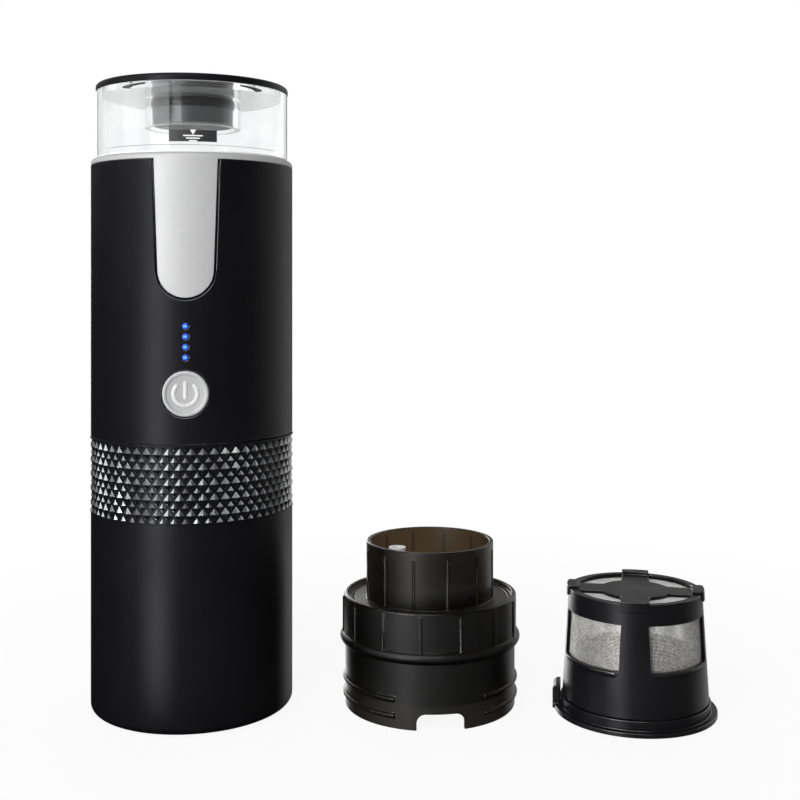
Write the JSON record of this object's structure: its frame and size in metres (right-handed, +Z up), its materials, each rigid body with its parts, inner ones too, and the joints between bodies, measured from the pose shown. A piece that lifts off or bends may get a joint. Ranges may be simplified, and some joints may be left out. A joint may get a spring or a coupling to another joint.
{
  "type": "portable coffee machine",
  "caption": "Cylindrical battery coffee machine with a clear water tank, power button, diamond grip band and cup, with its capsule holder and filter basket standing beside it.",
  "frame": {"origin": "centre of the underside of the cup's foot pad", "axes": "+Z up along the machine's axis, -Y towards the front with the button, +X towards the holder and the filter basket"},
  "size_m": [0.2162, 0.0864, 0.2172],
  "materials": {
    "satin_black": "satin",
    "gloss_black": "gloss",
    "silver_satin": "satin",
    "clear_plastic": "clear",
    "smoke_plastic": "smoky",
    "pale_silicone": "matt",
    "black_rubber": "matt",
    "steel": "brushed",
    "frame_plastic": "moulded",
    "cell_wrap": "film",
    "board": "coated",
    "light_blue": "clear"
  },
  "bodies": {
    "cup": {"cup_shell": "satin_black", "grip_band": "gloss_black", "cup_foot_pad": "black_rubber"},
    "head": {"upper_housing": "satin_black", "trim_collar": "silver_satin", "water_tank": "clear_plastic", "tank_neck": "clear_plastic", "tank_seal_ring": "pale_silicone", "tank_strainer": "steel", "inner_frame": "frame_plastic", "frame_top": "frame_plastic", "frame_screws": "steel", "battery_cells": "cell_wrap", "pump_motor": "steel", "pump_body": "frame_plastic", "inlet_tube": "pale_silicone", "outlet_tube": "pale_silicone", "control_board": "board", "push_switch": "frame_plastic", "light_chips": "board", "light_pipe": "light_blue", "charge_board": "board", "charge_socket": "steel", "brew_head": "satin_black", "piercing_needle": "steel", "brew_gasket": "pale_silicone", "rim_gasket": "pale_silicone"},
    "tank_lid": {"lid_cap": "gloss_black", "lid_plug": "satin_black", "lid_gasket": "pale_silicone", "lid_ring_seal": "black_rubber"},
    "button": {"power_button": "silver_satin"},
    "port_flap": {"port_cover": "black_rubber"},
    "rotor": {"pump_rotor": "steel"},
    "holder": {"holder_ring": "smoke_plastic", "holder_chamber": "smoke_plastic", "holder_needle": "steel", "holder_bush": "pale_silicone"},
    "filter_lid": {"basket_lid": "gloss_black", "basket_hinge_pin": "steel"},
    "basket": {"basket_frame": "gloss_black", "basket_side_mesh": "steel", "basket_end_mesh": "steel", "basket_end_cross": "gloss_black"}
  },
  "joints": [
    {"name": "head_pull", "type": "slide", "parent": "cup", "child": "head", "axis": [0, 0, 1], "range_m": [0, 0.06]},
    {"name": "lid_pull", "type": "slide", "parent": "head", "child": "tank_lid", "axis": [0, 0, 1], "range_m": [0, 0.03]},
    {"name": "button_press", "type": "slide", "parent": "head", "child": "button", "axis": [0, 1, 0], "range_m": [0, 0.0008], "stiffness_N_per_m": 500},
    {"name": "port_flap_swing", "type": "hinge", "parent": "head", "child": "port_flap", "pos_m": [0, 0.035, 0.114], "axis": [-1, 0, 0], "range_deg": [0, 90]},
    {"name": "rotor_spin", "type": "hinge", "parent": "head", "child": "rotor", "pos_m": [-0.016, 0, 0.1295], "axis": [0, 0, 1], "continuous": true},
    {"name": "holder_lift", "type": "slide", "parent": "cup", "child": "holder", "axis": [0, 0, 1], "range_m": [0, 0.08]},
    {"name": "filter_lift", "type": "slide", "parent": "cup", "child": "filter_lid", "axis": [0, 0, 1], "range_m": [0, 0.06]},
    {"name": "basket_swing", "type": "hinge", "parent": "filter_lid", "child": "basket", "pos_m": [0.16086, 0.00166, 0.00485], "axis": [-0.9563, 0.2924, 0], "range_deg": [0, 90]}
  ]
}
